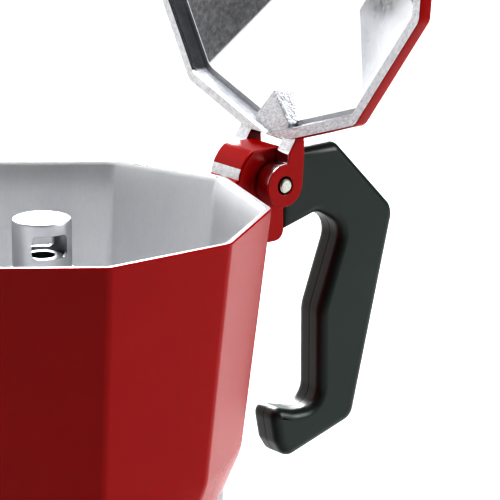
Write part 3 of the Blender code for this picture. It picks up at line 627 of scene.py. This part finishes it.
@dataclass
class UpperChamber:
    """The ten-sided enamelled chamber, bare inside, with its collar, column, spout and lug."""

    places: Frame
    rim_r: float = 60.0
    rim_width: float = 2.4
    waist_r: float = 52.3
    waist_drop: float = 63.0
    collar_r: float = 47.0
    collar_top_drop: float = 75.0
    collar_edge: float = 0.5
    paint_edge: float = 0.3
    flare_lip: float = 0.25
    flare_steps: int = 8
    flare_power: float = 1.6
    melt_power: float = 1.7
    outer_drops: tuple = (58, 50, 44, 38, 33, 28, 23, 18, 13, 8, 4, 1.2)
    inner_drops: tuple = (5, 9, 14, 19, 24, 29, 34, 39, 46, 54, 62)
    wall: float = 3.2
    floor_round: float = 5.0
    floor_steps: int = 5
    floor_flat_r: float = 34.0
    floor_drop: float = 71.1
    ceiling_drop: float = 74.9
    collar_bore_r: float = 42.9
    column_r: float = 8.8
    column_foot_r: float = 20.0
    column_wall: float = 4.2
    spout_reach: float = 12.0
    spout_drop: float = 38.0
    lug_width: float = 13.0
    lug_sweep: float = 11.6
    lug_top: float = 7.5
    lug_back: float = 75.2
    lug_bottom: float = 19.0

    def body_r(self, drop: float) -> float:
        """Outer corner radius at that drop below the rim."""
        return self.rim_r + (self.waist_r - self.rim_r) * drop / self.waist_drop

    def beak(self, drop: float) -> float:
        """How far the spout stands out at that drop below the rim."""
        share = max(0.0, 1 - drop / self.spout_drop)
        return self.spout_reach * (0.6 * share + 0.4 * share**3)

    def collar_foot(self) -> float:
        """Height of the collar's foot from the rim plane, a negative number."""
        return (self.places.collar_z - self.places.rim_z) / MM

    def outside(self) -> list[Station]:
        """Stations from the foot of the collar up to the rim."""
        foot = self.collar_foot()
        paint_z = -self.collar_top_drop - self.paint_edge
        stations = [
            Station(self.collar_r - self.collar_edge, foot, 0.0, 0.0, Finish.CAST),
            Station(self.collar_r, foot + self.collar_edge, 0.0, 0.0, Finish.CAST),
            Station(self.collar_r, paint_z, 0.0, 0.0, Finish.ENAMEL),
        ]
        flare = self.collar_top_drop - self.waist_drop
        narrowing = self.waist_r - self.collar_r - self.flare_lip
        for i in range(self.flare_steps + 1):
            share = 1 - i / self.flare_steps
            radius = self.waist_r - narrowing * share**self.flare_power
            z = -self.waist_drop - flare * share
            stations.append(Station(radius, z, 1 - share**self.melt_power, 0.0, Finish.ENAMEL))
        for drop in self.outer_drops:
            stations.append(Station(self.body_r(drop), -drop, 1.0, self.beak(drop), Finish.ENAMEL))
        stations.append(Station(self.rim_r - 0.02, -0.35, 1.0, self.beak(0.35), Finish.ENAMEL))
        return stations

    def inside(self) -> list[Station]:
        """Stations over the rim, down the inner wall and across the floor to the column."""
        inner = self.rim_r - self.rim_width
        stations = [
            Station(self.rim_r - 0.3, 0.0, 1.0, self.beak(0), Finish.CAST),
            Station(inner + 0.9, 0.0, 1.0, self.beak(0), Finish.POLISHED),
            Station(inner + 0.25, -0.35, 1.0, self.beak(0), Finish.SATIN),
            Station(inner - 0.3, -1.5, 1.0, self.beak(1.5), Finish.SATIN),
        ]
        for drop in self.inner_drops:
            # The wall is a hair thicker just under the rim, where the die closes.
            radius = self.body_r(drop) - self.wall - 0.2 * math.exp(-drop / 4)
            stations.append(Station(radius, -drop, 1.0, self.beak(drop), Finish.SATIN))
        base = self.body_r(self.floor_drop - self.floor_round) - self.wall
        for i in range(1, self.floor_steps + 1):
            turn = math.pi / 2 * i / self.floor_steps
            radius = base - self.floor_round * (1 - math.cos(turn))
            z = -self.floor_drop + self.floor_round * (1 - math.sin(turn))
            stations.append(Station(radius, z, 1 - 0.6 * i / self.floor_steps, 0.0, Finish.SATIN))
        for radius in (self.floor_flat_r, self.column_foot_r + 3):
            stations.append(Station(radius, -self.floor_drop, 0.0, 0.0, Finish.SATIN))
        return stations

    def column(self) -> list[Station]:
        """Stations up the outside of the coffee column, down its bore and under the floor."""
        tip = (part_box("column_cap")[0].z - self.places.rim_z) / MM
        floor, foot, root, wall = (
            -self.floor_drop, self.collar_foot(), self.column_foot_r, self.column_wall
        )
        bore = self.collar_bore_r
        trunk = [
            (root, floor + 0.8), (root - 3.2, floor + 3.5), (14.0, floor + 8), (11.8, floor + 15),
            (10.1, floor + 24), (9.5, floor + 34), (9.1, floor + 44),
            (self.column_r + 0.1, tip - 1.0), (self.column_r - 0.4, tip - 0.3),
        ]
        # The nozzle band under the cap is painted darker grey as painted shade.
        nozzle = [(5.9, tip - 0.3), (5.9, tip + 2.9), (5.4, tip + 3.4), (3.4, tip + 3.4)]
        underside = [
            (10.1 - wall, floor + 24), (14.0 - wall, floor + 6), (root, -self.ceiling_drop),
            (bore, -self.ceiling_drop), (bore, foot + 0.4), (bore + 0.4, foot),
        ]
        bands = ((trunk, Finish.SATIN), (nozzle, Finish.PAINTED_SHADE), (underside, Finish.SATIN))
        return [Station(r, z, 0.0, 0.0, finish) for profile, finish in bands for r, z in profile]

    def build_shell(self) -> None:
        """Makes the chamber's body."""
        shell = TenSidedShell(self.outside() + self.inside() + self.column(), True, 1.3)
        bm, finishes = shell.build()
        piece = hand_over(
            bm, "upper_chamber", finishes, "collector_group", ["collector"], self.places.lift
        )

    def build_lug(self) -> None:
        """Makes the hinge lug with its rounded front and the tang behind it."""
        hinge_x = self.places.hinge.x / MM
        top = math.pi - math.asin((self.lug_top + RIM_ABOVE_PIN) / self.lug_sweep)
        base = math.pi - math.asin(RIM_ABOVE_PIN / self.lug_sweep)
        # The lug starts inside the chamber's wall, so that no seam shows.
        wall_foot = self.body_r(self.lug_bottom) - self.wall + 0.9
        corners = [(wall_foot, -self.lug_bottom, 0.0), (self.rim_r - self.rim_width, -1.3, 0.0)]
        corners += arc((hinge_x, -RIM_ABOVE_PIN), self.lug_sweep, base, top, 6)[:-1]
        corners += [
            (hinge_x + self.lug_sweep * math.cos(top), self.lug_top, 1.2),
            (self.lug_back, self.lug_top, 2.0),
            (self.lug_back, -self.lug_bottom, 3.0),
        ]
        half = self.lug_width / 2 * MM
        bm = prism(corners, -half, half)
        bevel(bm, crisp_edges(bm), 0.7 * MM, 3)
        for face in bm.faces:
            # The foot of the rounded front is ground flush with the rim, so it is bare.
            ground = face.calc_center_median().z < 2.4 * MM and face.normal.x < -0.75
            face.material_index = 1 if ground else 0
        finishes = [Finish.ENAMEL, Finish.ROUGH]
        hand_over(bm, "hinge_lug", finishes, "collector_group", (), self.places.lift)

    def build(self) -> None:
        """Makes every piece of the chamber."""
        self.build_shell()
        self.build_lug()


@dataclass
class ColumnCap:
    """The pressed cap on the coffee column, with a window on each side."""

    places: Frame
    radius: float = 7.8
    wall: float = 1.3
    window_angle: float = math.radians(-106)
    window_width: float = 9.6
    window_height: float = 6.2
    window_drop: float = 3.3

    def build(self) -> None:
        """Makes the cap."""
        low, high = (corner.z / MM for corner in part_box("column_cap"))
        radius, bore, ceiling = self.radius, self.radius - self.wall, high - self.wall
        profile = [
            (0, high - 0.25), (4.6, high - 0.25), (5.0, high), (radius - 0.9, high),
            (radius - 0.25, high - 0.25), (radius, high - 0.9), (radius, low + 0.3),
            (radius - 0.3, low), (bore, low), (bore, ceiling - 0.5), (bore - 0.6, ceiling),
            (0, ceiling),
        ]
        bm = turned(profile, 72, looped=False)
        tool = bmesh.new()
        bmesh.ops.create_cube(tool, size=1.0)
        size = Vector((self.radius * 3, self.window_width, self.window_height)) * MM
        bmesh.ops.scale(tool, vec=size, verts=tool.verts)
        along = [e for e in tool.edges if abs((e.verts[0].co - e.verts[1].co).x) > 0.01]
        bevel(tool, along, 1.4 * MM, 4)
        turn = Matrix.Rotation(self.window_angle, 4, "Z")
        centre = Vector((0, 0, (high - self.window_drop - self.window_height / 2) * MM))
        bmesh.ops.transform(tool, matrix=Matrix.Translation(centre) @ turn, verts=tool.verts)
        finishes, replaced = [Finish.PRESSED], ["column_cap"]
        hand_over(cut(bm, tool), "spout_tower_cap", finishes, "collector_group", replaced)


@dataclass
class Lid:
    """The domed lid: enamelled outside, buffed inside, with a bare rim, gusset and two ears."""

    places: Frame
    radius: float = 62.3
    rim: float = 3.1
    skirt: float = 3.2
    height: float = 20.5
    wall: float = 2.5
    crown_r: float = 13.0
    beak: float = 8.0
    hole_r: float = 2.0
    dome_shares: tuple = (0.0, 0.13, 0.25, 0.27, 0.45, 0.63, 0.65, 0.82, 1.0)
    dome_break: tuple[float, float] = (0.64, 0.82)
    outer_foot: float = 4.4
    inner_foot: float = 4.7
    ear_r: float = 6.0
    ear_width: float = 5.5
    ear_rise: float = 0.4
    ear_gap: float = 6.8
    ear_root: float = 56.7
    pin_hole_r: float = 2.45
    notch_r: float = 12.2
    gusset_r: float = 47.0
    gusset_foot: float = 1.4
    gusset_lap: float = 0.4

    @property
    def inner_edge(self) -> float:
        """Corner radius of the dome's edge, inside."""
        return self.radius - self.rim - 2.6

    def dome(self, share: float, edge: float, low: float, high: float) -> tuple[float, float]:
        """Finds a point of the dome, which is steeper outside its break than inside it.

        Args:
            share: How far in from the edge, 1 at the crown.
            edge: Corner radius of the edge.
            low: Height of the edge.
            high: Height of the crown.

        Returns:
            The point's corner radius and height.
        """
        turn, rise = self.dome_break
        if share <= turn:
            climb = rise * share / turn
        else:
            climb = rise + (1 - rise) * (share - turn) / (1 - turn)
        return edge + (self.crown_r - edge) * share, low + (high - low) * climb

    def inner_dome(self, share: float) -> tuple[float, float]:
        """Corner radius and height of the dome's inside at that share."""
        return self.dome(share, self.inner_edge, self.inner_foot, self.height - self.wall)

    def stations(self) -> list[Station]:
        """Stations over the outside of the lid and back under it."""
        edge = self.radius - 1.2
        outer = [self.dome(k, edge, self.outer_foot, self.height) for k in self.dome_shares]
        inner = [self.inner_dome(share) for share in reversed(self.dome_shares)]
        lip = self.radius - self.rim
        skirt, high = self.radius, self.skirt
        painted = [
            (skirt - 0.25, 0.0, 1.0), (skirt, 0.3, 1.0), (skirt, high, 1.0),
            (skirt - 0.3, high + 0.7, 0.95),
        ]
        painted += [(r, z, max(0.0, 0.8 - i * 0.35)) for i, (r, z) in enumerate(outer)]
        result = [Station(r, z, 1.0, self.beak * k, Finish.ENAMEL) for r, z, k in painted]
        result += [
            Station(self.hole_r, self.height, 0.0, 0.0, Finish.POLISHED),
            Station(self.hole_r, self.height - self.wall, 0.0, 0.0, Finish.POLISHED),
        ]
        result += [Station(radius, z, 1.0, 0.0, Finish.POLISHED) for radius, z in inner]
        result += [
            # The lid's groove and inner wall are painted darker grey as painted shade.
            Station(lip - 2.3, 4.6, 1.0, 0.0, Finish.PAINTED_SHADE),
            Station(lip - 0.75, 4.3, 1.0, 0.0, Finish.PAINTED_SHADE),
            Station(lip - 0.55, 0.8, 1.0, self.beak * 0.3, Finish.POLISHED),
            Station(lip, 0.0, 1.0, self.beak * 0.4, Finish.ROUGH),
        ]
        return result

    def notch(self) -> bmesh.types.BMesh:
        """The tool that clears the sweep of the lug, in the lid's shut place."""
        centre = Vector((self.places.hinge.x, 0, PIN_IN_LID * MM))
        reach = Vector((0, self.ear_gap * MM, 0))
        return drill(self.notch_r * MM, centre - reach, centre + reach, 64)

    def build_shell(self) -> None:
        """Makes the dome with its notch for the lug."""
        bm, finishes = TenSidedShell(self.stations(), True, 0.9).build()
        place = self.places.lid_matrix()
        hand_over(cut(bm, self.notch()), "lid_dome", finishes, "lid_group", ["lid"], place, 42)

    def build_gusset(self) -> None:
        """Makes the pointed web that backs the ears, flat below and up to the dome above."""
        side = self.ear_gap + self.gusset_lap
        points = [
            (self.radius - 1.9, 0.0), (self.radius - 4.4, side), (self.gusset_r + 8.0, side),
            (self.gusset_r, 0.0), (self.gusset_r + 8.0, -side), (self.radius - 4.4, -side),
        ]
        bm = bmesh.new()
        foot = self.gusset_foot * MM
        face = bm.faces.new([bm.verts.new((x * MM, y * MM, foot)) for x, y in points])
        for vert in extrude(bm, face, Vector((0, 0, MM))):
            share = (self.inner_edge - vert.co.xy.length / MM) / (self.inner_edge - self.crown_r)
            vert.co.z = (self.inner_dome(max(0.0, share))[1] + self.gusset_lap) * MM
        bmesh.ops.triangulate(bm, faces=[f for f in bm.faces if len(f.verts) > 4])
        bmesh.ops.recalc_face_normals(bm, faces=bm.faces)
        bm = cut(bm, self.notch())
        bevel(bm, crisp_edges(bm), 0.4 * MM, 2)
        hand_over(bm, "lid_gusset", [Finish.ROUGH], "lid_group", (), self.places.lid_matrix())

    def ear_corners(self) -> list[Corner]:
        """Side view of an ear, from the lid's centre and foot, its root inside the lid's wall."""
        hinge_x = self.places.hinge.x / MM
        left = -math.pi - math.asin(self.ear_rise / self.ear_r)
        return arc((hinge_x, PIN_IN_LID), self.ear_r, math.pi / 2, left, 40) + [
            (62.4, PIN_IN_LID + self.ear_rise, 2.0),
            (self.ear_root + 2.0, 0.1, 0.0),
            (self.ear_root, 0.1, 0.0),
            (self.ear_root, 3.0, 0.0),
            (self.radius, PIN_IN_LID + self.ear_r, 1.5),
        ]

    def build_ear(self, side: int) -> None:
        """Makes one ear, painted on its flanks and bare on the edge that faces the rim.

        Args:
            side: -1 for the right ear, 1 for the left.
        """
        near, far = self.ear_gap * MM, (self.ear_gap + self.ear_width) * MM
        low, high = (near, far) if side > 0 else (-far, -near)
        pin_x, pin_z = self.places.hinge.x, PIN_IN_LID * MM
        start, end = Vector((pin_x, low - MM, pin_z)), Vector((pin_x, high + MM, pin_z))
        bm = cut(prism(self.ear_corners(), low, high), drill(self.pin_hole_r * MM, start, end))
        bevel(bm, crisp_edges(bm), 0.35 * MM, 3)
        finishes = [Finish.ENAMEL, Finish.POLISHED, Finish.ROUGH]
        for face in bm.faces:
            out = face.calc_center_median().x - pin_x
            # The edge that faces the rim is bare: machined round the pin, as cast at the root.
            bare = abs(face.normal.y) < 0.55 and face.normal.z < 0.35 and out < 5.2 * MM
            finish = Finish.ROUGH if out < -9.5 * MM else Finish.POLISHED
            face.material_index = finishes.index(finish) if bare else 0
        name = "lid_ear_left" if side > 0 else "lid_ear_right"
        hand_over(bm, name, finishes, "lid_group", (), self.places.lid_matrix())

    def build(self) -> None:
        """Makes every piece of the lid."""
        self.build_shell()
        self.build_gusset()
        for side in (-1, 1):
            self.build_ear(side)


@dataclass
class Knob:
    """The ten-sided phenolic knob on the lid."""

    places: Frame
    foot: float = 22.1
    height: float = 23.5

    def build(self) -> None:
        """Makes the knob with soft ridges, on a blind round hole for its screw."""
        hole = [(0.0, 12.0), (2.0, 12.0), (2.0, 0.0)]
        grip = [
            (7.2, 0.0), (7.8, 0.5), (8.0, 1.5), (7.0, 4.5), (6.3, 8.0), (6.3, 11.0), (7.0, 14.0),
            (8.6, 17.2), (9.9, 19.4), (9.9, 20.6), (9.2, 21.8), (5.0, 23.2), (0.0, self.height),
        ]
        stations = [
            Station(radius, z + self.foot, facets, 0.0, Finish.PHENOLIC)
            for profile, facets in ((hole, 0.0), (grip, 1.0))
            for radius, z in profile
        ]
        bm, finishes = TenSidedShell(stations, False, 0.6).build()
        hand_over(bm, "lid_knob", finishes, "lid_group", ["knob"], self.places.lid_matrix())


@dataclass
class Handle:
    """The phenolic handle, moulded in a two-part die, so a fine parting line runs round it."""

    places: Frame
    thickness: float = 11.0
    edge: float = 2.7
    edge_steps: int = 7
    parting: float = 0.16
    left: float = 75.5

    def corners(self) -> list[Corner]:
        """Side view from the rim plane: arm, sloping shoulder, grip and the hook at its foot."""
        return [
            (self.left, 5.0, 0.0), (95.0, 5.4, 3.2), (116.0, -16.5, 5.0), (101.4, -75.5, 4.5),
            (77.5, -83.2, 3.4), (74.3, -78.0, 4.0), (72.2, -66.8, 2.9), (80.5, -69.6, 6.0),
            (89.3, -70.2, 5.5), (89.3, -42.0, 10.0), (98.0, -18.5, 6.0), (88.5, -13.5, 4.0),
            (self.left, -17.2, 0.0),
        ]

    def build(self) -> None:
        """Makes one half, rounds its edge by rising insets, and mirrors it at the parting line."""
        bm = prism(self.corners(), 0.0, (self.thickness / 2 - self.edge) * MM)
        cap = max(bm.faces, key=lambda face: face.calc_center_median().y)
        for i in range(self.edge_steps):
            start, end = (math.pi / 2 * (i + k) / self.edge_steps for k in (0, 1))
            bmesh.ops.inset_region(
                bm,
                faces=[cap],
                thickness=self.edge * MM * (math.cos(start) - math.cos(end)),
                depth=self.edge * MM * (math.sin(end) - math.sin(start)),
                use_even_offset=True,
            )
        seam = 10 * MERGE
        rim = [e for e in crisp_edges(bm) if all(v.co.y < seam for v in e.verts)]
        bevel(bm, rim, self.parting * MM, 2)
        middle = [f for f in bm.faces if all(v.co.y < seam for v in f.verts)]
        bmesh.ops.delete(bm, geom=middle, context="FACES")
        half = bm.verts[:] + bm.edges[:] + bm.faces[:]
        bmesh.ops.mirror(bm, geom=half, axis="Y", merge_dist=seam)
        bmesh.ops.remove_doubles(bm, verts=bm.verts, dist=seam)
        bmesh.ops.recalc_face_normals(bm, faces=bm.faces)
        finishes, replaced = [Finish.PHENOLIC], ["handle"]
        hand_over(
            bm, "handle_moulding", finishes, "collector_group", replaced, self.places.lift
        )


@dataclass
class HingePin:
    """The plain steel pin through the ears and the lug, with faced and chamfered ends."""

    places: Frame
    radius: float = 2.0
    chamfer: float = 0.4

    def build(self) -> None:
        """Makes the pin along Y."""
        low, high = (corner.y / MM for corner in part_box("hinge_pin"))
        face_r = self.radius - 0.45
        profile = [
            (0.0, low), (face_r, low), (self.radius, low + self.chamfer),
            (self.radius, high - self.chamfer), (face_r, high), (0.0, high),
        ]
        bm = turned(profile, 40, looped=False)
        place = Matrix.Translation((self.places.hinge.x, 0, self.places.hinge.z)) @ LAID_ALONG_Y
        hand_over(bm, "lid_hinge_pin", [Finish.STEEL], "collector_group", ["hinge_pin"], place)


@dataclass
class Boiler:
    """The bare ten-sided boiler, flared to its foot, with the round neck that takes the collar."""

    base_r: float = 62.0
    top_r: float = 50.5
    body_h: float = 76.0
    wall: float = 3.3
    neck_r: float = 42.6
    neck_wall: float = 3.1
    shoulder_r: float = 47.0
    shoulder_z: float = 87.4
    shoulder_power: float = 1.4
    foot_round: float = 1.6
    foot_steps: int = 4
    side_steps: int = 6
    edge: float = 0.5
    thread_z: float = 89.2
    thread_depth: float = 0.22
    thread_half: float = 0.7
    pitch: float = 3.0
    turns: float = 2.0
    turn_steps: int = 72

    def stations(self) -> list[Station]:
        """Stations from the foot, up the outside, over the neck and down to the inner floor."""
        top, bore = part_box("boiler")[1].z / MM, self.neck_r - self.neck_wall
        side, foot = self.foot_round, self.base_r - self.foot_round
        shape = [(0.0, 0.0, 1.0), (foot, 0.0, 1.0)]
        for i in range(1, self.foot_steps + 1):
            turn = math.pi / 2 * i / self.foot_steps
            radius = self.base_r - side * (1 - math.sin(turn))
            shape.append((radius, side * (1 - math.cos(turn)), 1.0))
        for i in range(1, self.side_steps + 1):
            share = i / self.side_steps
            radius = self.base_r + (self.top_r - self.base_r) * share
            shape.append((radius, side + (self.body_h - side) * share, 1.0))
        for i in range(1, self.side_steps + 1):
            share = i / self.side_steps
            melted = share**self.shoulder_power
            radius = self.top_r + (self.shoulder_r - self.top_r) * melted
            shape.append((radius, self.body_h + 8 * share, 1 - melted))
        shape += [
            (self.shoulder_r, self.shoulder_z - self.edge, 0.0),
            (self.shoulder_r - self.edge, self.shoulder_z, 0.0),
            (self.neck_r, self.shoulder_z, 0.0), (self.neck_r, top - self.edge, 0.0),
            (self.neck_r - self.edge, top, 0.0), (bore + 0.4, top, 0.0), (bore, top - 0.4, 0.0),
            (bore, self.body_h + 4, 0.0), (self.top_r - self.wall, self.body_h - 3, 1.0),
            (self.base_r - self.wall, 5.5, 1.0), (self.base_r - self.wall - 1.5, 4.0, 1.0),
            (0.0, 4.0, 1.0),
        ]
        return [Station(radius, z, facets, 0.0, Finish.CAST) for radius, z, facets in shape]

    def build_threads(self) -> None:
        """Makes the helical thread on the neck, inside the clearance under the collar."""
        bm = bmesh.new()
        root, crest = self.neck_r - 0.15, self.neck_r + self.thread_depth
        section = [(root, -self.thread_half), (crest, 0.0), (root, self.thread_half)]
        verts = [bm.verts.new((r * MM, 0.0, (self.thread_z + z) * MM)) for r, z in section]
        face = bm.faces.new(verts)
        bmesh.ops.spin(
            bm,
            geom=[face],
            cent=(0, 0, 0),
            axis=(0, 0, 1),
            dvec=(0, 0, self.pitch * MM / self.turn_steps),
            angle=2 * math.pi * self.turns,
            steps=int(self.turn_steps * self.turns),
        )
        bmesh.ops.recalc_face_normals(bm, faces=bm.faces)
        hand_over(bm, "neck_thread", [Finish.CAST], "boiler_group")

    def build_boss(self) -> None:
        """Makes the round seat that the valve is screwed against."""
        face_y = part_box("valve_washer")[0].y / MM - 0.3
        profile = [(4.6, -4.4), (9.0, -4.4), (9.0, -0.4), (8.6, 0.0), (4.6, 0.0)]
        centre_z = sum(corner.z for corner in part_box("valve_washer")) / 2
        place = Matrix.Translation((0, face_y * MM, centre_z)) @ LAID_ALONG_Y
        ring = turned(profile, 64, looped=True)
        hand_over(ring, "valve_boss", [Finish.CAST], "boiler_group", (), place)

    def build(self) -> None:
        """Makes the boiler's pieces."""
        bm, finishes = TenSidedShell(self.stations(), False, 1.4).build()
        hand_over(bm, "boiler_body", finishes, "boiler_group", ["boiler"])
        self.build_threads()
        self.build_boss()


@dataclass
class Internals:
    """CAD nodes whose shape is right: they keep their meshes and get their real finishes."""

    finishes: dict[Finish, tuple[str, ...]] = field(
        default_factory=lambda: {
            Finish.BRASS: ("valve_body", "valve_retainer"),
            Finish.RUBBER: ("valve_washer", "valve_seal", "gasket"),
            Finish.STEEL: (
                "valve_stem", "valve_spring", "handle_screw", "knob_screw", "knob_washer",
            ),
            Finish.SHEET: ("funnel", "funnel_screen", "filter_plate"),
        }
    )

    def build(self) -> None:
        """Assigns each finish to its nodes."""
        for finish, names in self.finishes.items():
            for name in names:
                node = frame["nodes"][name]
                node.data.materials.clear()
                node.data.materials.append(MATERIALS[finish])
                LOG.info("%s keeps its CAD mesh in %s", name, finish.value)


@dataclass
class Studio:
    """Pale floor, soft light and the camera. A light is its name, place, side and watts."""

    places: Frame
    azimuth: float = -37.7
    elevation: float = 15.17
    distance: float = 0.830
    lens: float = 229.6
    aim_right: float = 54.1
    aim_drop: float = 10.8
    sweep_azimuth: float = 95.0
    sweep_level: float = 0.9
    room_level: float = 0.08
    sweep_sides: tuple[float, float] = (0.34, 0.5)
    sweep_top: tuple[float, float] = (0.75, 0.55)
    lights: tuple = (
        ("overhead_softbox", (0.0, 0.2, 1.2), 0.8, 11.0),
        ("key_softbox", (0.85, -0.8, 0.6), 0.6, 6.5),
        ("sweep_light", (0.7, 1.4, 0.9), 0.8, 24.0),
    )

    def build_camera(self) -> None:
        """Puts the camera on its long-lens viewpoint above the chamber's rim."""
        turn, lift = math.radians(self.azimuth), math.radians(self.elevation)
        level = math.cos(lift)
        back = Vector((math.sin(turn) * level, -math.cos(turn) * level, math.sin(lift)))
        right = (-back).cross(Vector((0, 0, 1))).normalized()
        axis = Vector((0, 0, self.places.rim_z - self.aim_drop * MM))
        target = axis + right * self.aim_right * MM
        data = bpy.data.cameras.new("camera")
        data.lens = self.lens
        data.sensor_width = 36.0
        data.clip_end = 20.0
        camera = bpy.data.objects.new("camera", data)
        camera.location = target + back * self.distance
        camera.rotation_euler = back.to_track_quat("Z", "Y").to_euler()
        bpy.context.scene.collection.objects.link(camera)
        bpy.context.scene.camera = camera

    def build_floor(self) -> None:
        """Makes the pale floor."""
        bm = bmesh.new()
        bmesh.ops.create_circle(bm, cap_ends=True, segments=96, radius=1.6)
        floor = as_object(bm, "floor")
        floor.location.z = -0.3 * MM
        material = bpy.data.materials.new("floor_white")
        material.use_nodes = True
        shader = material.node_tree.nodes["Principled BSDF"]
        shader.inputs["Base Color"].default_value = linear("D2D2D2")
        shader.inputs["Roughness"].default_value = 0.9
        floor.data.materials.append(material)

    def build_world(self) -> None:
        """Sets a dim room with a white sweep that stands round the back, low on the horizon."""
        world = bpy.data.worlds.new("studio")
        bpy.context.scene.world = world
        world.use_nodes = True
        tree = world.node_tree
        shade = tree.nodes["Background"]
        direction = add_node(tree, "ShaderNodeTexCoord", {}, {}).outputs["Generated"]
        centre = math.radians(self.sweep_azimuth)
        facing = add_node(
            tree,
            "ShaderNodeVectorMath",
            {"operation": "DOT_PRODUCT", 1: (math.cos(centre), math.sin(centre), 0.0)},
            {0: direction},
        )
        behind = self._step(tree, facing.outputs["Value"], *self.sweep_sides)
        height = add_node(tree, "ShaderNodeSeparateXYZ", {}, {0: direction}).outputs["Z"]
        low = self._step(tree, height, *self.sweep_top)
        sweep = add_node(tree, "ShaderNodeMath", {"operation": "MULTIPLY"}, {0: behind, 1: low})
        level = add_node(
            tree,
            "ShaderNodeMapRange",
            {"To Min": self.room_level, "To Max": self.sweep_level},
            {"Value": sweep.outputs[0]},
        ).outputs[0]
        seen = add_node(tree, "ShaderNodeLightPath", {}, {}).outputs["Is Camera Ray"]
        strength = add_node(tree, "ShaderNodeMath", {"operation": "MAXIMUM"}, {0: level, 1: seen})
        tree.links.new(strength.outputs[0], shade.inputs["Strength"])
        shade.inputs["Color"].default_value = (1.0, 1.0, 1.0, 1.0)

    def _step(
        self, tree: bpy.types.NodeTree, value: bpy.types.NodeSocket, start: float, end: float
    ) -> bpy.types.NodeSocket:
        """Adds a smooth step from 0 at start to 1 at end."""
        settings = {"interpolation_type": "SMOOTHSTEP", "From Min": start, "From Max": end}
        return add_node(tree, "ShaderNodeMapRange", settings, {"Value": value}).outputs[0]

    def add_area(self, name: str, place: tuple, size: float, watts: float) -> None:
        """Adds a square soft light aimed at the chamber."""
        data = bpy.data.lights.new(name, "AREA")
        data.size = size
        data.energy = watts
        light = bpy.data.objects.new(name, data)
        light.location = place
        aim = Vector(place) - Vector((0, 0, self.places.rim_z))
        light.rotation_euler = aim.to_track_quat("Z", "Y").to_euler()
        bpy.context.scene.collection.objects.link(light)

    def build(self) -> None:
        """Makes the whole set."""
        self.build_camera()
        self.build_floor()
        self.build_world()
        for light in self.lights:
            self.add_area(*light)
        bpy.context.scene.view_settings.view_transform = "Standard"
        bpy.context.scene.view_settings.look = "Very High Contrast"


def main() -> None:
    """Builds the finishes, the pot and the studio."""
    logging.basicConfig(level=logging.INFO, format="%(message)s")
    for surface in SURFACES:
        MATERIALS[surface.finish] = surface.build()
    places = Frame.read()
    parts: list = [
        UpperChamber(places), ColumnCap(places), Lid(places), Knob(places), Handle(places),
        HingePin(places), Boiler(), Internals(), Studio(places),
    ]
    for part in parts:
        part.build()


if __name__ == "__main__":
    main()
